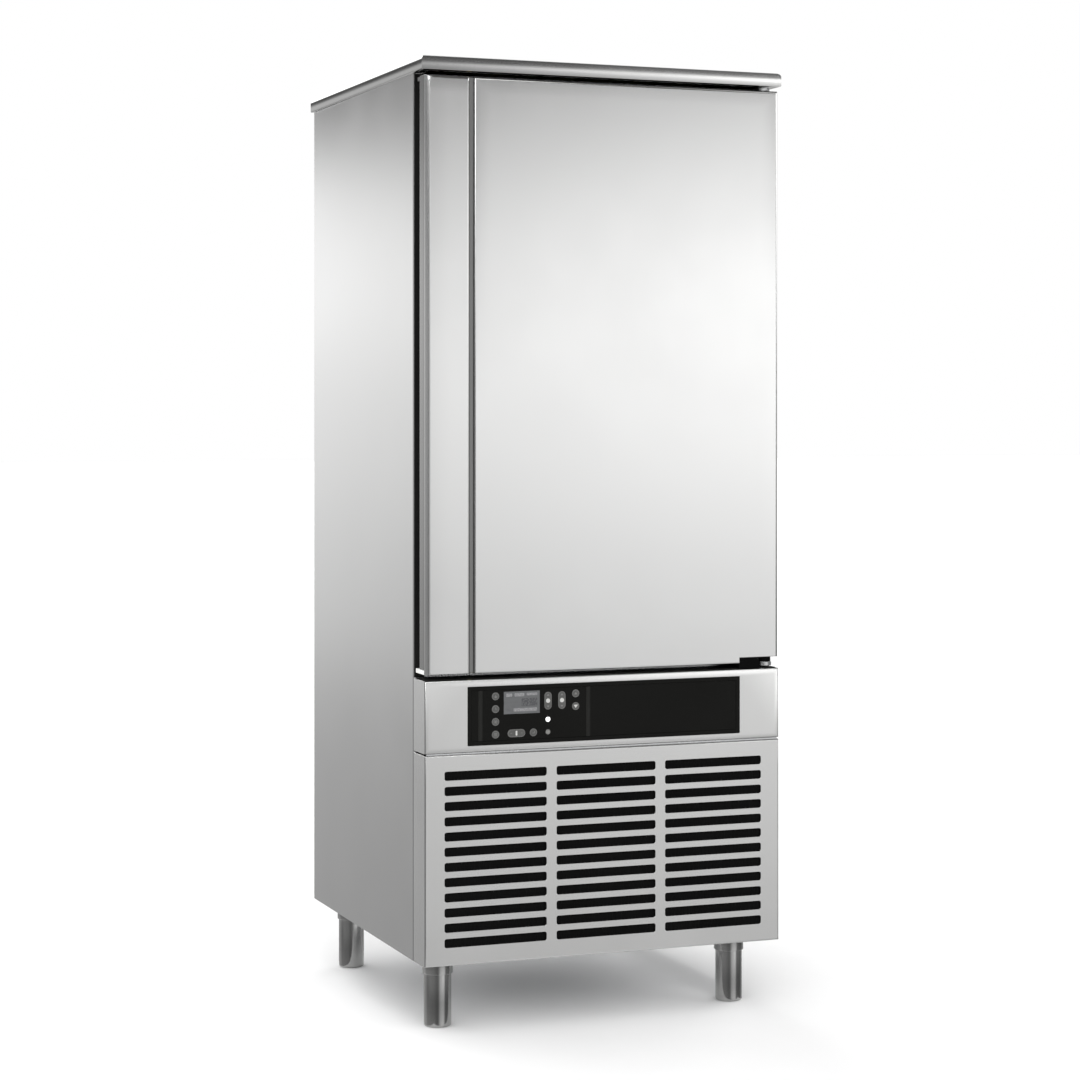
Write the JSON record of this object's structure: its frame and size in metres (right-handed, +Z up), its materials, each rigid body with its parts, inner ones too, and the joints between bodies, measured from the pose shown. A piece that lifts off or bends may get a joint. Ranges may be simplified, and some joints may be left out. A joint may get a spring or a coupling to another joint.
{
  "type": "blast chiller",
  "caption": "Upright stainless blast chiller on adjustable legs, with a solid hinged door, full-height grip, key panel, slotted front panel and its refrigeration unit.",
  "frame": {"origin": "on the floor, under the middle of the worktop", "axes": "+Z up, +X to the right seen from the front, the door faces -Y"},
  "size_m": [0.79, 0.8, 1.95],
  "materials": {
    "stainless_brushed": "brushed stainless sheet, satin",
    "stainless_plain": "plain stainless sheet",
    "stainless_tube": "polished stainless tube",
    "galvanised": "galvanised sheet, dull",
    "foam": "rigid polyurethane foam, matt",
    "gasket_rubber": "matt black",
    "black_nylon": "moulded, matt",
    "aluminium_fin": "bare",
    "black_paint": "satin black",
    "copper_tube": "drawn copper, satin",
    "bezel_black": "semi-gloss black overlay",
    "display_grey": "smooth grey window",
    "board_green": "solder-resist green",
    "key_grey": "soft dark grey"
  },
  "bodies": {
    "cabinet": {"side_panel_left": "stainless_brushed", "side_panel_right": "stainless_brushed", "back_panel": "stainless_plain", "worktop": "stainless_brushed", "insulation_body": "foam", "chamber_liner": "stainless_plain", "front_frame": "stainless_plain", "base_tray": "galvanised", "fascia": "stainless_brushed", "front_grille": "stainless_brushed", "leg_sleeve_front_left": "stainless_tube", "leg_sleeve_front_right": "stainless_tube", "leg_sleeve_rear_left": "stainless_tube", "leg_sleeve_rear_right": "stainless_tube", "upper_hinge_bracket": "stainless_plain", "lower_hinge_bracket": "stainless_plain", "control_bezel": "bezel_black", "display_window": "display_grey", "circuit_board": "board_green", "tray_rack_left": "stainless_plain", "tray_rack_right": "stainless_plain", "evaporator_coil": "aluminium_fin", "drip_tray": "stainless_plain", "condenser_coil": "black_paint", "condenser_shroud": "galvanised", "condenser_motor": "black_paint", "compressor": "black_paint", "liquid_receiver": "black_paint", "suction_pipe": "copper_tube", "liquid_pipe": "copper_tube", "discharge_pipe": "copper_tube", "electrical_box": "galvanised", "cable_gland": "black_nylon"},
    "door": {"door_skin": "stainless_brushed", "door_handle": "stainless_brushed", "door_foam": "foam", "door_liner": "stainless_plain", "door_gasket": "gasket_rubber", "door_corner_block": "black_nylon", "lower_hinge_bush": "black_nylon"},
    "fan_panel": {"evaporator_panel": "stainless_plain", "evaporator_motor_lower": "black_paint", "evaporator_motor_upper": "black_paint"},
    "evaporator_fan_lower": {"evaporator_fan_lower": "aluminium_fin"},
    "evaporator_fan_upper": {"evaporator_fan_upper": "aluminium_fin"},
    "condenser_fan": {"condenser_fan": "aluminium_fin"},
    "foot_front_left": {"leg_foot_front_left": "stainless_tube"},
    "foot_front_right": {"leg_foot_front_right": "stainless_tube"},
    "foot_rear_left": {"leg_foot_rear_left": "stainless_tube"},
    "foot_rear_right": {"leg_foot_rear_right": "stainless_tube"},
    "mode_key_1": {"mode_key_1": "key_grey"},
    "mode_key_2": {"mode_key_2": "key_grey"},
    "mode_key_3": {"mode_key_3": "key_grey"},
    "mode_key_4": {"mode_key_4": "key_grey"},
    "temperature_key": {"temperature_key": "key_grey"},
    "time_key": {"time_key": "key_grey"},
    "down_key": {"down_key": "key_grey"},
    "up_key": {"up_key": "key_grey"},
    "start_key": {"start_key": "key_grey"},
    "enter_key": {"enter_key": "key_grey"}
  },
  "joints": [
    {"name": "door_hinge", "type": "hinge", "parent": "cabinet", "child": "door", "pos_m": [0.364, -0.375, 0.72], "axis": [0, 0, 1], "range_deg": [0, 110]},
    {"name": "fan_panel_hinge", "type": "hinge", "parent": "cabinet", "child": "fan_panel", "pos_m": [0.202, 0.138, 0.85], "axis": [0, 0, 1], "range_deg": [0, 90]},
    {"name": "evaporator_fan_lower_spin", "type": "hinge", "parent": "fan_panel", "child": "evaporator_fan_lower", "pos_m": [0, 0.13, 1.087], "axis": [0, 1, 0], "continuous": true},
    {"name": "evaporator_fan_upper_spin", "type": "hinge", "parent": "fan_panel", "child": "evaporator_fan_upper", "pos_m": [0, 0.13, 1.562], "axis": [0, 1, 0], "continuous": true},
    {"name": "condenser_fan_spin", "type": "hinge", "parent": "cabinet", "child": "condenser_fan", "pos_m": [-0.109, -0.1997, 0.3388], "axis": [0, 1, 0], "continuous": true},
    {"name": "foot_front_left_screw", "type": "slide", "parent": "cabinet", "child": "foot_front_left", "axis": [0, 0, -1], "range_m": [0, 0.05]},
    {"name": "foot_front_right_screw", "type": "slide", "parent": "cabinet", "child": "foot_front_right", "axis": [0, 0, -1], "range_m": [0, 0.05]},
    {"name": "foot_rear_left_screw", "type": "slide", "parent": "cabinet", "child": "foot_rear_left", "axis": [0, 0, -1], "range_m": [0, 0.05]},
    {"name": "foot_rear_right_screw", "type": "slide", "parent": "cabinet", "child": "foot_rear_right", "axis": [0, 0, -1], "range_m": [0, 0.05]},
    {"name": "mode_key_1_press", "type": "slide", "parent": "cabinet", "child": "mode_key_1", "axis": [0, 1, 0], "range_m": [0, 0.0006], "stiffness_N_per_m": 2000},
    {"name": "mode_key_2_press", "type": "slide", "parent": "cabinet", "child": "mode_key_2", "axis": [0, 1, 0], "range_m": [0, 0.0006], "stiffness_N_per_m": 2000},
    {"name": "mode_key_3_press", "type": "slide", "parent": "cabinet", "child": "mode_key_3", "axis": [0, 1, 0], "range_m": [0, 0.0006], "stiffness_N_per_m": 2000},
    {"name": "mode_key_4_press", "type": "slide", "parent": "cabinet", "child": "mode_key_4", "axis": [0, 1, 0], "range_m": [0, 0.0006], "stiffness_N_per_m": 2000},
    {"name": "temperature_key_press", "type": "slide", "parent": "cabinet", "child": "temperature_key", "axis": [0, 1, 0], "range_m": [0, 0.0006], "stiffness_N_per_m": 2000},
    {"name": "time_key_press", "type": "slide", "parent": "cabinet", "child": "time_key", "axis": [0, 1, 0], "range_m": [0, 0.0006], "stiffness_N_per_m": 2000},
    {"name": "down_key_press", "type": "slide", "parent": "cabinet", "child": "down_key", "axis": [0, 1, 0], "range_m": [0, 0.0006], "stiffness_N_per_m": 2000},
    {"name": "up_key_press", "type": "slide", "parent": "cabinet", "child": "up_key", "axis": [0, 1, 0], "range_m": [0, 0.0006], "stiffness_N_per_m": 2000},
    {"name": "start_key_press", "type": "slide", "parent": "cabinet", "child": "start_key", "axis": [0, 1, 0], "range_m": [0, 0.0006], "stiffness_N_per_m": 2000},
    {"name": "enter_key_press", "type": "slide", "parent": "cabinet", "child": "enter_key", "axis": [0, 1, 0], "range_m": [0, 0.0006], "stiffness_N_per_m": 2000}
  ]
}
